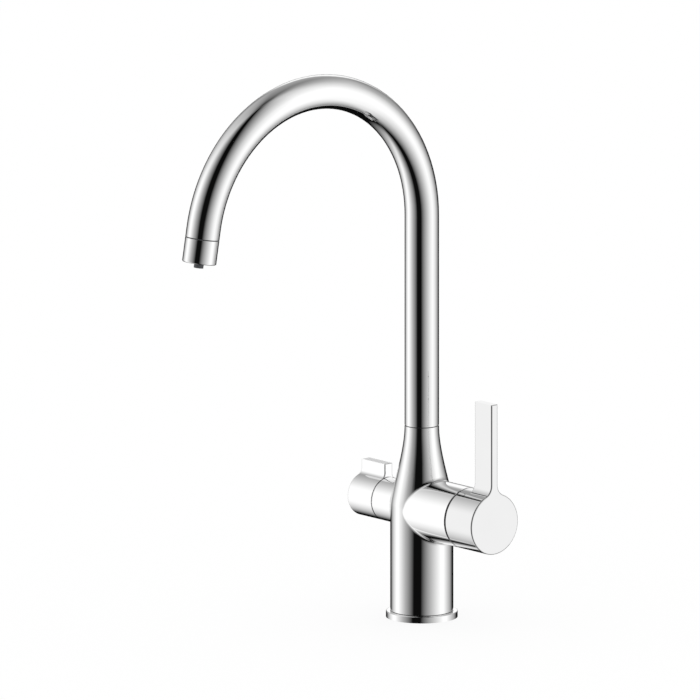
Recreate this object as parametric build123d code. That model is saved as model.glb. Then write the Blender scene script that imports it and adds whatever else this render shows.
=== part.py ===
"""Three way filtered water tap for a kitchen sink.

A cast column with a bottle neck carries a single lever mixer barrel on its +X side, a
quarter turn filtered water barrel on its -X side and a swivelling swan-neck spout that
points to -Y at rest.  The origin is the centre of the foot on the worktop, +Z is up and
all sizes are in millimetres.
"""

import os
from math import cos, radians, sin, sqrt

from build123d import *

# Clearances
FIXED_GAP = 0.05        # between pieces that are fitted together and stay together
RUNNING_GAP = 0.05      # radial, between a turning shaft and its bore
FREE_GAP = 0.3          # between turning pieces that never touch

# Foot: column spigot, base ring and its rubber seal
COLUMN_OVER_MIXER = 0.5     # from the side of the mixer barrel to that of the column
COLUMN_FOOT_CHAMFER = 0.6
SPIGOT_STEP = 2.0       # from the side of the column to its spigot
RING_LIP = 3.0          # that the base ring stands out from the column
RING_HEIGHT = 4.5
RING_EDGE_ROUND = 0.8
FOOT_SEAL_WIDTH = 2.0
FOOT_SEAL_HEIGHT = 2.0
FOOT_SEAL_INSET = 1.4   # from the seal to the rim of the base ring

# Threaded holes in the foot, at the minor radius of their threads
STUD_HOLE_RADIUS = 3.32     # M8
STUD_HOLE_DEPTH = 20.0
PORT_RADIUS = 4.46          # M10 x 1
PORT_DEPTH = 10.0
PORT_CIRCLE_RADIUS = 11.0
SUPPLY_ANGLE = 60.0         # hot and cold ports either side of +X, filtered port at -X

# Bottle neck
NECK_RISE = 58.2            # from the axis of the barrels to the top of the neck
FLARE_OVER_AXIS = 2.3       # the flare starts this far over the axis of the barrels
FLARE_LOWER_SHARE = 0.144   # pull of the two ends of the curve, of the height of the flare
FLARE_UPPER_SHARE = 0.36

# Swan-neck spout
SPOUT_RADIUS = 12.0
SPOUT_WALL = 1.0
SPOUT_STRAIGHT = 149.0      # straight part of the tube, from its foot to the arch
ARCH_RADIUS = 100.5
ARCH_ANGLE = 170.2
SPOUT_TAIL = 6.7
BEARING_THICKNESS = 0.6
BEARING_RECESS = 0.3

# Spout insert and its socket in the neck
SOCKET_RADIUS = 9.0
SOCKET_DEPTH = 38.0
INSERT_SPIGOT = 14.0
INSERT_BORE_RADIUS = 6.0
SEAL_SECTION = 0.75         # radius of the section of every O-ring
LOWER_SEAL_RISE = 5.0
SEAL_SPACING = 7.0
RETAINER_DROP = 12.0
RETAINER_WIDTH = 2.0
RETAINER_DEPTH = 1.2
RETAINER_REACH = 0.6
RETAINER_SPLIT = 4.0

# Waterways in the casting
SUPPLY_PASSAGE_RADIUS = 3.0
FILTER_PASSAGE_RADIUS = 1.75
FILTER_INLET_RADIUS = 2.0
RISER_DROP = 7.8            # floor of the riser bore, under the barrel axis
RISER_LENGTH = 10.5
MIXED_PORT_RISE = 8.5
SUPPLY_PORT_DROP = 5.0
FILTER_OUTLET_DROP = 5.8
FILTER_OUTLET_OFFSET = 6.0

# Filtered water tube
WATER_TUBE_RADIUS = 3.0
WATER_TUBE_WALL = 1.0
WATER_TUBE_LIFT = 4.0       # from the floor of its riser bore

# Outlet
COLLAR_LENGTH = 17.4
SEAM_CHAMFER = 0.4          # on the tube and on the collar, where they meet
COLLAR_SPIGOT = 7.0
COLLAR_SPIGOT_WALL = 1.0
COLLAR_EDGE_ROUND = 1.0
AERATOR_RADIUS = 10.4
AERATOR_RECESS = 0.8
AERATOR_HEIGHT = 8.0
AERATOR_WALL = 1.2
AERATOR_FLOOR = 1.5
AERATOR_SEAL_HEIGHT = 1.5
AERATOR_SEAL_WIDTH = 2.0
JET_RADIUS = 0.5
JET_ROW_RADII = (5.6, 7.4)
JET_ROW_COUNTS = (14, 18)
NOZZLE_RADIUS = 3.4
NOZZLE_HEAD_RADIUS = 4.4
NOZZLE_SHOW = 3.4
NOZZLE_SOCKET = 5.0
NOZZLE_EDGE_ROUND = 0.3

# Both barrels
BARREL_HEIGHT = 77.8
SHARP_EDGE = 0.3
MIXER_JUNCTION_ROUND = 3.2
FILTER_JUNCTION_ROUND = 1.5
GRUB_SOCKET_SHARE = 0.5     # depth of the hexagon socket of both grub screws

# Mixer barrel
MIXER_RADIUS = 21.5
MIXER_STUB_END = 49.3
MIXER_GROOVE = 1.6
MIXER_BAND_RADIUS = 21.1    # band of the glide ring that fills the groove
MIXER_TRIM_RADIUS = 20.0
MIXER_TRIM_BORE = 16.0
MIXER_TRIM_SPIGOT = 2.5

# 35 mm ceramic disc cartridge
CARTRIDGE_RADIUS = 17.5
CARTRIDGE_LENGTH = 29.0
CARTRIDGE_WALL = 2.8
CARTRIDGE_BASE = 3.5
CARTRIDGE_TOP = 4.0
CARTRIDGE_NECK_RADIUS = 11.0
CARTRIDGE_NECK = 6.5
PORT_SEAL_WIDTH = 1.4
PORT_SEAL_HEIGHT = 1.5
PORT_SEAL_MARGIN = 0.6
MIXER_DISC_THICKNESS = 3.5
MIXER_DISC_RADIUS = 13.5
MIXING_POCKET_RADIUS = 7.0
MIXING_POCKET_OFFSET = 4.0
MIXING_POCKET_DEPTH = 1.5
DRIVER_THICKNESS = 4.0
DRIVER_LUG = 4.0
DRIVER_LUG_DEPTH = 2.0
STEM_RADIUS = 7.0
STEM_END_RADIUS = 5.0
STEM_END_LENGTH = 14.0
NECK_TO_HUB = 6.8           # free stem between the cartridge neck and the lever hub
STEM_FLAT = 4.2
NUT_RADIUS = 18.8
NUT_LENGTH = 5.5
NUT_BORE_RADIUS = 12.0
NUT_SLOT_WIDTH = 4.0
NUT_SLOT_DEPTH = 2.0
NUT_SLOTS = 4
NUT_RUNOUT = 2.0            # free thread behind the nut

# Mixer lever
LEVER_LENGTH = 27.5
LEVER_SKIRT = 3.0
LEVER_FRONT = 5.0
LEVER_MOUTH_DEPTH = 2.2
LEVER_HUB_RADIUS = 9.0
BLADE_THICKNESS = 5.8
BLADE_DEPTH = 18.4
BLADE_REACH = 85.0
BLADE_ROOT_ROUND = 8.5
LEVER_EDGE_ROUND = 1.0
LEVER_SCREW_RADIUS = 2.5    # M5
LEVER_SCREW_PLACE = 7.5     # from the back of the hub
LEVER_SCREW_SOCKET = 2.5

# Filter barrel
FILTER_RADIUS = 15.3
FILTER_STUB_END = 35.9
FILTER_GROOVE = 0.8
FILTER_TRIM_RADIUS = 13.8
FILTER_TRIM_REACH = 1.6
FILTER_TRIM_SPIGOT = 0.8
FILTER_TRIM_BORE = 7.5

# Quarter turn headwork
VALVE_CHAMBER_RADIUS = 9.5
VALVE_CHAMBER_DEPTH = 11.5
VALVE_THREAD_RADIUS = 10.5
VALVE_THREAD_LENGTH = 7.0
VALVE_RADIUS = 8.0
VALVE_BORE_RADIUS = 6.6
VALVE_FOOT_GAP = 0.5
VALVE_NECK_RADIUS = 6.5
VALVE_NECK = 3.5
VALVE_WINDOW_WIDTH = 6.0
VALVE_WINDOW_LENGTH = 3.0
VALVE_WASHER_HEIGHT = 2.5
VALVE_DISC_THICKNESS = 2.5
VALVE_PORT_RADIUS = 5.2
VALVE_PORT_WEB = 0.6
VALVE_DRIVER_LEG = 3.8
VALVE_DRIVER_LEG_WIDTH = 3.0
VALVE_DRIVER_PLATE = 1.7
SPINDLE_RADIUS = 4.0
SPINDLE_END_RADIUS = 3.8
SPINDLE_END_LENGTH = 9.5
NECK_TO_HANDLE = 0.5        # free spindle between the headwork neck and the handle hub
SPINDLE_FLAT = 3.2

# Filter handle
HANDLE_LENGTH = 25.3
HANDLE_SKIRT = 2.8
HANDLE_FRONT = 4.0
HANDLE_MOUTH_DEPTH = 1.2
HANDLE_HUB_RADIUS = 6.5
TAB_THICKNESS = 7.0
TAB_REACH = 24.7
TAB_OFFSET = 1.0            # the tab stands this far off the middle, away from the spout
TAB_ROOT_ROUND = 4.2
HANDLE_EDGE_ROUND = 0.8
HANDLE_SCREW_RADIUS = 2.0   # M4
HANDLE_SCREW_PLACE = 5.5
HANDLE_SCREW_SOCKET = 2.0

# Places along the mixer barrel, measured from the axis of the column
NUT_END = MIXER_STUB_END - FREE_GAP - MIXER_TRIM_SPIGOT
CARTRIDGE_SHOULDER = NUT_END - NUT_LENGTH
CARTRIDGE_SEAT = CARTRIDGE_SHOULDER - CARTRIDGE_LENGTH
MIXER_DISC_SEAT = CARTRIDGE_SEAT + CARTRIDGE_BASE
MIXER_DISC_FACE = MIXER_DISC_SEAT + MIXER_DISC_THICKNESS
DRIVER_FACE = MIXER_DISC_FACE + MIXER_DISC_THICKNESS
STEM_START = DRIVER_FACE + DRIVER_THICKNESS
CARTRIDGE_NECK_END = CARTRIDGE_SHOULDER + CARTRIDGE_NECK
STEM_END = CARTRIDGE_NECK_END + STEM_END_LENGTH
LEVER_BACK = MIXER_STUB_END + MIXER_GROOVE
LEVER_HUB_BACK = CARTRIDGE_NECK_END + NECK_TO_HUB
LEVER_BORE_END = STEM_END + FREE_GAP

# Places along the filter barrel, measured from the axis of the column
VALVE_THREAD_END = FILTER_STUB_END - FILTER_TRIM_SPIGOT - FIXED_GAP
VALVE_STEP = VALVE_THREAD_END - VALVE_THREAD_LENGTH
VALVE_SEAT = VALVE_STEP - VALVE_CHAMBER_DEPTH
VALVE_NECK_END = VALVE_THREAD_END + VALVE_NECK
VALVE_DISC_SEAT = VALVE_SEAT + VALVE_WASHER_HEIGHT
VALVE_DISC_FACE = VALVE_DISC_SEAT + VALVE_DISC_THICKNESS
VALVE_DRIVER_FACE = VALVE_DISC_FACE + VALVE_DISC_THICKNESS
VALVE_DRIVER_PLATE_FACE = VALVE_DRIVER_FACE + VALVE_DRIVER_LEG
SPINDLE_START = VALVE_DRIVER_PLATE_FACE + VALVE_DRIVER_PLATE
SPINDLE_END = VALVE_NECK_END + SPINDLE_END_LENGTH
HANDLE_BACK = FILTER_STUB_END + FILTER_GROOVE
HANDLE_HUB_BACK = VALVE_NECK_END + NECK_TO_HANDLE
HANDLE_BORE_END = SPINDLE_END + FREE_GAP

# Radii of the foot
COLUMN_RADIUS = MIXER_RADIUS + COLUMN_OVER_MIXER
SPIGOT_RADIUS = COLUMN_RADIUS - SPIGOT_STEP
RING_RADIUS = COLUMN_RADIUS + RING_LIP

# Heights and places of the neck and the spout
NECK_TOP = BARREL_HEIGHT + NECK_RISE
FLARE_START = BARREL_HEIGHT + FLARE_OVER_AXIS
FLARE_HEIGHT = NECK_TOP - FLARE_START
SPOUT_FOOT = NECK_TOP + BEARING_THICKNESS
ARCH_START = SPOUT_FOOT + SPOUT_STRAIGHT
SOCKET_FLOOR = NECK_TOP - SOCKET_DEPTH
INSERT_RADIUS = SOCKET_RADIUS - RUNNING_GAP
SPOUT_BORE_RADIUS = SPOUT_RADIUS - SPOUT_WALL
O_RING_DEPTH = 2 * SEAL_SECTION
O_RING_GROOVE = 2 * SEAL_SECTION + FREE_GAP
RETAINER_HEIGHT = NECK_TOP - RETAINER_DROP
RISER_FLOOR = BARREL_HEIGHT - RISER_DROP
RISER_TOP = RISER_FLOOR + RISER_LENGTH
SUPPLY_PORT_Y = PORT_CIRCLE_RADIUS * sin(radians(SUPPLY_ANGLE))
SUPPLY_PORT_X = PORT_CIRCLE_RADIUS * cos(radians(SUPPLY_ANGLE))
MIXED_PORT_RADIUS = SUPPLY_PASSAGE_RADIUS


def rod(radius, start, end, y=0.0, z=0.0):
    """Round bar along X, as every piece of a barrel is turned."""
    return Pos((start + end) / 2, y, z) * Rot(0, 90, 0) * Cylinder(radius, end - start)


def pipe(outer, inner, start, end, y=0.0, z=0.0):
    """Bar along X with a bore."""
    return rod(outer, start, end, y, z) - rod(inner, start, end, y, z)


def post(radius, bottom, top, x=0.0, y=0.0):
    """Upright round bar."""
    return Pos(x, y, (bottom + top) / 2) * Cylinder(radius, top - bottom)


def sleeve(outer, inner, bottom, top):
    """Upright bar on the column axis with a bore."""
    return post(outer, bottom, top) - post(inner, bottom, top)


def widest_rims(turned):
    """Round edges of an upright turned piece at its largest radius, the lowest first."""
    circles = turned.edges().filter_by(GeomType.CIRCLE)
    return circles.group_by(SortBy.RADIUS)[-1].sort_by(Axis.Z)


def flatted_rod(radius, flat, start, end):
    """Bar along X with one flat on its underside, where a grub screw presses."""
    cut = Pos((start + end) / 2, 0, -flat - radius) * Box(end - start, 2 * radius, 2 * radius)
    return rod(radius, start, end) - cut


def on_mixer_barrel(shape):
    """Move a piece turned about X to the mixer barrel."""
    return Pos(0, 0, BARREL_HEIGHT) * shape


def on_filter_barrel(shape):
    """Move a piece turned about X to the filter barrel, which points to -X."""
    return Pos(0, 0, BARREL_HEIGHT) * Rot(0, 0, 180) * shape


# Foot

def base_ring():
    """Loose ring round the foot of the column, with a groove for its seal."""
    ring = sleeve(RING_RADIUS, SPIGOT_RADIUS + FIXED_GAP, 0, RING_HEIGHT)
    return fillet(widest_rims(ring)[-1], RING_EDGE_ROUND) - foot_seal_space(FIXED_GAP)


def foot_seal_space(gap):
    """Space of the seal under the base ring, wider than the seal by the gap on each side."""
    outer = RING_RADIUS - FOOT_SEAL_INSET
    inner = outer - FOOT_SEAL_WIDTH
    return sleeve(outer + gap, inner - gap, 0, FOOT_SEAL_HEIGHT)


def base_seal():
    """Rubber seal, flush with the underside of the base ring."""
    return foot_seal_space(0)


# Cast body

def column():
    """Column with its foot spigot and bottle neck, turned about Z."""
    low = (COLUMN_RADIUS, FLARE_START)
    high = (SPOUT_RADIUS, NECK_TOP)
    low_pull = (COLUMN_RADIUS, FLARE_START + FLARE_LOWER_SHARE * FLARE_HEIGHT)
    high_pull = (SPOUT_RADIUS, NECK_TOP - FLARE_UPPER_SHARE * FLARE_HEIGHT)
    flare = Bezier(low, low_pull, high_pull, high)
    straight = Polyline(
        high,
        (0, NECK_TOP),
        (0, 0),
        (SPIGOT_RADIUS, 0),
        (SPIGOT_RADIUS, RING_HEIGHT),
        (COLUMN_RADIUS - COLUMN_FOOT_CHAMFER, RING_HEIGHT),
        (COLUMN_RADIUS, RING_HEIGHT + COLUMN_FOOT_CHAMFER),
        low,
    )
    return revolve(Plane.XZ * make_face([flare, straight]), Axis.Z)


def barrel_stub(radius, end):
    """Straight stub of a barrel, its inner end hidden in the column."""
    stub = rod(radius, 0, end)
    mouth = stub.edges().group_by(Axis.X)[-1]
    return chamfer(mouth, SHARP_EDGE)


def body_casting():
    """Column and both stubs in one, with the joints between them rounded."""
    core = column()
    filter_stub = on_filter_barrel(barrel_stub(FILTER_RADIUS, FILTER_STUB_END))
    mixer_stub = on_mixer_barrel(barrel_stub(MIXER_RADIUS, MIXER_STUB_END))
    joints = ((filter_stub, FILTER_JUNCTION_ROUND), (mixer_stub, MIXER_JUNCTION_ROUND))
    for stub, junction_round in joints:
        joined = core + stub
        core = fillet(new_edges(core, stub, combined=joined), junction_round)
    return core


def mixer_chamber():
    """Bore for the cartridge with the wider thread of its retaining nut."""
    bore = rod(CARTRIDGE_RADIUS + FIXED_GAP, CARTRIDGE_SEAT, MIXER_STUB_END)
    thread = rod(NUT_RADIUS, CARTRIDGE_SHOULDER - NUT_RUNOUT, MIXER_STUB_END)
    return on_mixer_barrel(bore + thread)


def valve_chamber():
    """Bore for the headwork with the wider thread that holds it."""
    bore = rod(VALVE_CHAMBER_RADIUS, VALVE_SEAT, VALVE_STEP)
    thread = rod(VALVE_THREAD_RADIUS, VALVE_STEP, FILTER_STUB_END)
    return on_filter_barrel(bore + thread)


def spout_socket():
    """Bore for the spout insert with the inner groove for its retaining ring."""
    bore = post(SOCKET_RADIUS, SOCKET_FLOOR, NECK_TOP)
    half = RETAINER_WIDTH / 2 + FREE_GAP
    groove_radius = SOCKET_RADIUS + RETAINER_REACH + FREE_GAP
    return bore + post(groove_radius, RETAINER_HEIGHT - half, RETAINER_HEIGHT + half)


def riser():
    """Bore of the filtered water tube, its O-ring groove and the mixed water way above."""
    bore = post(WATER_TUBE_RADIUS + RUNNING_GAP, RISER_FLOOR, RISER_TOP)
    middle = riser_seal_height()
    groove_radius = WATER_TUBE_RADIUS + RUNNING_GAP + O_RING_DEPTH
    groove = post(groove_radius, middle - O_RING_GROOVE / 2, middle + O_RING_GROOVE / 2)
    return bore + groove + post(INSERT_BORE_RADIUS, RISER_TOP, SOCKET_FLOOR)


def supply_passages(side):
    """Inlet thread and passage of the hot or the cold water, up to the cartridge seat."""
    y = side * SUPPLY_PORT_Y
    port_height = BARREL_HEIGHT - SUPPLY_PORT_DROP
    inlet = post(PORT_RADIUS, 0, PORT_DEPTH, SUPPLY_PORT_X, y)
    top = port_height + SUPPLY_PASSAGE_RADIUS
    upright = post(SUPPLY_PASSAGE_RADIUS, PORT_DEPTH, top, SUPPLY_PORT_X, y)
    branch = rod(SUPPLY_PASSAGE_RADIUS, SUPPLY_PORT_X, CARTRIDGE_SEAT, y, port_height)
    return inlet + upright + branch


def mixed_passage():
    """Passage of the mixed water from the cartridge seat to the riser."""
    return rod(MIXED_PORT_RADIUS, 0, CARTRIDGE_SEAT, 0, BARREL_HEIGHT + MIXED_PORT_RISE)


def filtered_passages():
    """Inlet of the filtered water to the headwork and its outlet to the riser."""
    inlet = post(PORT_RADIUS, 0, PORT_DEPTH, -PORT_CIRCLE_RADIUS)
    top = BARREL_HEIGHT + FILTER_INLET_RADIUS
    upright = post(FILTER_INLET_RADIUS, PORT_DEPTH, top, -PORT_CIRCLE_RADIUS)
    branch = on_filter_barrel(rod(FILTER_INLET_RADIUS, PORT_CIRCLE_RADIUS, VALVE_SEAT))
    outlet = on_filter_barrel(
        rod(FILTER_PASSAGE_RADIUS, 0, VALVE_SEAT + FREE_GAP, FILTER_OUTLET_OFFSET, -FILTER_OUTLET_DROP)
    )
    cross_height = BARREL_HEIGHT - FILTER_OUTLET_DROP
    cross_length = FILTER_OUTLET_OFFSET + FILTER_PASSAGE_RADIUS
    cross = Pos(0, -cross_length / 2, cross_height) * Rot(90, 0, 0)
    return inlet + upright + branch + outlet + cross * Cylinder(FILTER_PASSAGE_RADIUS, cross_length)


def tap_body():
    """Finished casting: chambers, socket, waterways and the threads in its foot."""
    body = body_casting()
    cuts = [mixer_chamber(), valve_chamber(), spout_socket(), riser()]
    cuts += [supply_passages(1), supply_passages(-1), mixed_passage(), filtered_passages()]
    cuts.append(post(STUD_HOLE_RADIUS, 0, STUD_HOLE_DEPTH))
    for cut in cuts:
        body -= cut
    return body


def riser_seal_height():
    """Height of the O-ring round the foot of the filtered water tube."""
    return (RISER_FLOOR + WATER_TUBE_LIFT + RISER_TOP) / 2


def riser_o_ring():
    """O-ring in the body round the foot of the filtered water tube."""
    ring_radius = WATER_TUBE_RADIUS + RUNNING_GAP + SEAL_SECTION
    return Pos(0, 0, riser_seal_height()) * Torus(ring_radius, SEAL_SECTION)


# Mixer cartridge

def supply_port_places():
    """Places of the two supply ports on the cartridge seat, from the barrel axis."""
    return [(side * SUPPLY_PORT_Y, -SUPPLY_PORT_DROP) for side in (1, -1)]


def cartridge_ports(start, end):
    """The three round ports through the cartridge base and the fixed disc."""
    supply = [rod(SUPPLY_PASSAGE_RADIUS, start, end, y, z) for y, z in supply_port_places()]
    return supply[0] + supply[1] + rod(MIXED_PORT_RADIUS, start, end, 0, MIXED_PORT_RISE)


def port_seals(gap):
    """Seals round the three ports, or their grooves, wider than the seals by the gap."""
    inner = SUPPLY_PASSAGE_RADIUS + PORT_SEAL_MARGIN
    outer = inner + PORT_SEAL_WIDTH
    end = CARTRIDGE_SEAT + PORT_SEAL_HEIGHT
    places = supply_port_places() + [(0, MIXED_PORT_RISE)]
    return [pipe(outer + gap, inner - gap, CARTRIDGE_SEAT, end, y, z) for y, z in places]


def mixer_port_seals():
    """Three separate rubber seals under the cartridge."""
    return Compound([on_mixer_barrel(seal).solid() for seal in port_seals(0)])


def mixer_cartridge_housing():
    """Cup with a ported base, closed by a top with the neck that guides the stem."""
    cavity_radius = CARTRIDGE_RADIUS - CARTRIDGE_WALL
    cup = rod(CARTRIDGE_RADIUS, CARTRIDGE_SEAT, CARTRIDGE_SHOULDER)
    cup += rod(CARTRIDGE_NECK_RADIUS, CARTRIDGE_SHOULDER, CARTRIDGE_NECK_END)
    cup -= rod(cavity_radius, MIXER_DISC_SEAT, CARTRIDGE_SHOULDER - CARTRIDGE_TOP)
    cup -= rod(STEM_RADIUS + RUNNING_GAP, CARTRIDGE_SHOULDER - CARTRIDGE_TOP, CARTRIDGE_NECK_END)
    cup -= stem_seal_groove()
    cup -= cartridge_ports(CARTRIDGE_SEAT, MIXER_DISC_SEAT)
    for groove in port_seals(FIXED_GAP):
        cup -= groove
    return on_mixer_barrel(cup)


def stem_seal_groove():
    """Groove in the cartridge neck for the O-ring round the stem."""
    half = O_RING_GROOVE / 2
    radius = STEM_RADIUS + RUNNING_GAP + O_RING_DEPTH
    return rod(radius, CARTRIDGE_SHOULDER - half, CARTRIDGE_SHOULDER + half)


def mixer_stem_o_ring():
    """O-ring in the cartridge neck."""
    ring = Torus(STEM_RADIUS + RUNNING_GAP + SEAL_SECTION, SEAL_SECTION)
    return on_mixer_barrel(Pos(CARTRIDGE_SHOULDER, 0, 0) * Rot(0, 90, 0) * ring)


def mixer_disc_fixed():
    """Ceramic disc that lies still on the cartridge base."""
    radius = CARTRIDGE_RADIUS - CARTRIDGE_WALL - FIXED_GAP
    disc = rod(radius, MIXER_DISC_SEAT, MIXER_DISC_FACE)
    return on_mixer_barrel(disc - cartridge_ports(MIXER_DISC_SEAT, MIXER_DISC_FACE))


def driver_lugs(gap):
    """Two lugs of the driver in the rim of the moving disc, or their notches."""
    depth = DRIVER_LUG_DEPTH + gap
    width = DRIVER_LUG + 2 * gap
    radial = DRIVER_LUG + gap
    place = MIXER_DISC_RADIUS - radial / 2
    lug = Box(depth, radial, width)
    x = DRIVER_FACE - depth / 2
    both = Pos(x, place, 0) * lug + Pos(x, -place, 0) * lug
    return both & rod(MIXER_DISC_RADIUS, DRIVER_FACE - depth, DRIVER_FACE)


def mixer_disc_moving():
    """Ceramic disc with the pocket in which the water mixes and two driving notches."""
    disc = rod(MIXER_DISC_RADIUS, MIXER_DISC_FACE, DRIVER_FACE)
    pocket_end = MIXER_DISC_FACE + MIXING_POCKET_DEPTH
    disc -= rod(MIXING_POCKET_RADIUS, MIXER_DISC_FACE, pocket_end, 0, MIXING_POCKET_OFFSET)
    return on_mixer_barrel(disc - driver_lugs(FIXED_GAP))


def mixer_stem():
    """Driver plate with its lugs, round stem and the flatted end for the lever."""
    stem = rod(MIXER_DISC_RADIUS, DRIVER_FACE, STEM_START)
    stem += rod(STEM_RADIUS, STEM_START, CARTRIDGE_NECK_END)
    stem += flatted_rod(STEM_END_RADIUS, STEM_FLAT, CARTRIDGE_NECK_END, STEM_END)
    return on_mixer_barrel(stem + driver_lugs(0))


def mixer_retaining_nut():
    """Threaded ring with spanner slots that presses on the cartridge shoulder."""
    nut = pipe(NUT_RADIUS - FIXED_GAP, NUT_BORE_RADIUS, CARTRIDGE_SHOULDER, NUT_END)
    place = (NUT_RADIUS + NUT_BORE_RADIUS) / 2
    slot = Box(NUT_SLOT_DEPTH, NUT_RADIUS, NUT_SLOT_WIDTH)
    for index in range(NUT_SLOTS):
        turn = Rot(360 / NUT_SLOTS * index, 0, 0)
        nut -= turn * Pos(NUT_END - NUT_SLOT_DEPTH / 2, place, 0) * slot
    return on_mixer_barrel(nut)


def mixer_trim_ring():
    """Glide ring with a band that fills the groove between the stub and the lever."""
    end = LEVER_BACK + LEVER_MOUTH_DEPTH / 2
    ring = pipe(MIXER_TRIM_RADIUS, MIXER_TRIM_BORE, MIXER_STUB_END, end)
    band = pipe(MIXER_BAND_RADIUS, MIXER_TRIM_BORE, MIXER_STUB_END, LEVER_BACK - FREE_GAP)
    spigot_start = MIXER_STUB_END - MIXER_TRIM_SPIGOT
    spigot = pipe(NUT_RADIUS - FIXED_GAP, MIXER_TRIM_BORE, spigot_start, MIXER_STUB_END)
    return on_mixer_barrel(ring + band + spigot)


# Handles

def handle_outline(radius, thickness, reach, root_round, offset=0.0):
    """Disc with an upright blade on it and hollow rounds between the two."""
    outline = Circle(radius) + Pos(offset, reach / 2) * Rectangle(thickness, reach)
    roots = outline.vertices().sort_by(Axis.Y)[-4:-2]
    return fillet(roots, root_round)


def blade_blank(outline, radius, length, depth, edge_round):
    """Turned barrel, back face at x = 0, with a blade that has soft front and back edges."""
    front = Pos(length - depth, 0, 0) * extrude(Plane.YZ * outline, depth)
    slices = front.edges().group_by(Axis.X)
    front = fillet(slices[0] + slices[-1], edge_round)
    return front + rod(radius, 0, length - edge_round)


def handle_cavity(radius, skirt, length, front, mouth, mouth_depth, hub, hub_back):
    """Hollow of a handle: a wide mouth for the trim ring and a ring space round the hub."""
    ring = pipe(radius - skirt, hub, hub_back, length - front)
    back = rod(radius - skirt, 0, hub_back)
    return ring + back + rod(mouth, 0, mouth_depth)


def grub_screw(radius, place, inner, outer, socket):
    """Screw under the barrel with a hexagon socket, pressing on the flat of a stem."""
    length = outer - inner
    screw = Pos(place, 0, -(inner + outer) / 2) * Cylinder(radius, length)
    hexagon = RegularPolygon(socket / sqrt(3), 6)
    return screw - Pos(place, 0, -outer) * extrude(hexagon, GRUB_SOCKET_SHARE * length)


def screw_hole(radius, place, reach):
    """Threaded hole through the hub, with the way for a key through the skirt."""
    return Pos(place, 0, -reach / 2) * Cylinder(radius, reach)


def mixer_lever():
    """Round handle and flat blade of the mixer, one casting."""
    outline = handle_outline(MIXER_RADIUS, BLADE_THICKNESS, BLADE_REACH, BLADE_ROOT_ROUND)
    blank = blade_blank(outline, MIXER_RADIUS, LEVER_LENGTH, BLADE_DEPTH, LEVER_EDGE_ROUND)
    blank -= handle_cavity(
        MIXER_RADIUS,
        LEVER_SKIRT,
        LEVER_LENGTH,
        LEVER_FRONT,
        MIXER_TRIM_RADIUS + FREE_GAP,
        LEVER_MOUTH_DEPTH,
        LEVER_HUB_RADIUS,
        LEVER_HUB_BACK - LEVER_BACK,
    )
    lever = Pos(LEVER_BACK, 0, 0) * blank
    bore_radius = STEM_END_RADIUS + FIXED_GAP
    lever -= flatted_rod(bore_radius, STEM_FLAT + FIXED_GAP, LEVER_HUB_BACK, LEVER_BORE_END)
    hole_radius = LEVER_SCREW_RADIUS + FIXED_GAP
    lever -= screw_hole(hole_radius, LEVER_HUB_BACK + LEVER_SCREW_PLACE, MIXER_RADIUS)
    return on_mixer_barrel(lever)


def mixer_grub_screw():
    """Grub screw between the lever hub and the stem."""
    place = LEVER_HUB_BACK + LEVER_SCREW_PLACE
    screw = grub_screw(LEVER_SCREW_RADIUS, place, STEM_FLAT, LEVER_HUB_RADIUS, LEVER_SCREW_SOCKET)
    return on_mixer_barrel(screw)


def filter_lever():
    """Round handle and tab of the filtered water valve, one casting."""
    outline = handle_outline(FILTER_RADIUS, TAB_THICKNESS, TAB_REACH, TAB_ROOT_ROUND, -TAB_OFFSET)
    blank = blade_blank(outline, FILTER_RADIUS, HANDLE_LENGTH, HANDLE_LENGTH, HANDLE_EDGE_ROUND)
    blank -= handle_cavity(
        FILTER_RADIUS,
        HANDLE_SKIRT,
        HANDLE_LENGTH,
        HANDLE_FRONT,
        FILTER_TRIM_RADIUS + FREE_GAP,
        HANDLE_MOUTH_DEPTH,
        HANDLE_HUB_RADIUS,
        HANDLE_HUB_BACK - HANDLE_BACK,
    )
    handle = Pos(HANDLE_BACK, 0, 0) * blank
    bore_radius = SPINDLE_END_RADIUS + FIXED_GAP
    handle -= flatted_rod(bore_radius, SPINDLE_FLAT + FIXED_GAP, HANDLE_HUB_BACK, HANDLE_BORE_END)
    hole_radius = HANDLE_SCREW_RADIUS + FIXED_GAP
    handle -= screw_hole(hole_radius, HANDLE_HUB_BACK + HANDLE_SCREW_PLACE, FILTER_RADIUS)
    return on_filter_barrel(handle)


def filter_grub_screw():
    """Grub screw between the filter handle hub and the spindle."""
    place = HANDLE_HUB_BACK + HANDLE_SCREW_PLACE
    screw = grub_screw(HANDLE_SCREW_RADIUS, place, SPINDLE_FLAT, HANDLE_HUB_RADIUS, HANDLE_SCREW_SOCKET)
    return on_filter_barrel(screw)


# Filtered water headwork

def filter_valve_housing():
    """Brass housing with side windows, threaded collar and spindle neck."""
    foot = VALVE_SEAT + VALVE_FOOT_GAP
    housing = rod(VALVE_RADIUS, foot, VALVE_STEP)
    housing += rod(VALVE_THREAD_RADIUS - FIXED_GAP, VALVE_STEP, VALVE_THREAD_END)
    housing += rod(VALVE_NECK_RADIUS, VALVE_THREAD_END, VALVE_NECK_END)
    housing -= rod(VALVE_BORE_RADIUS, foot, SPINDLE_START)
    housing -= rod(SPINDLE_RADIUS + RUNNING_GAP, SPINDLE_START, VALVE_NECK_END)
    window_middle = VALVE_DRIVER_FACE + VALVE_DRIVER_LEG / 2
    housing -= Pos(window_middle, 0, 0) * Box(VALVE_WINDOW_LENGTH, 2 * VALVE_RADIUS, VALVE_WINDOW_WIDTH)
    half = O_RING_GROOVE / 2
    groove_radius = SPINDLE_RADIUS + RUNNING_GAP + O_RING_DEPTH
    housing -= rod(groove_radius, VALVE_THREAD_END - half, VALVE_THREAD_END + half)
    return on_filter_barrel(housing)


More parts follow.
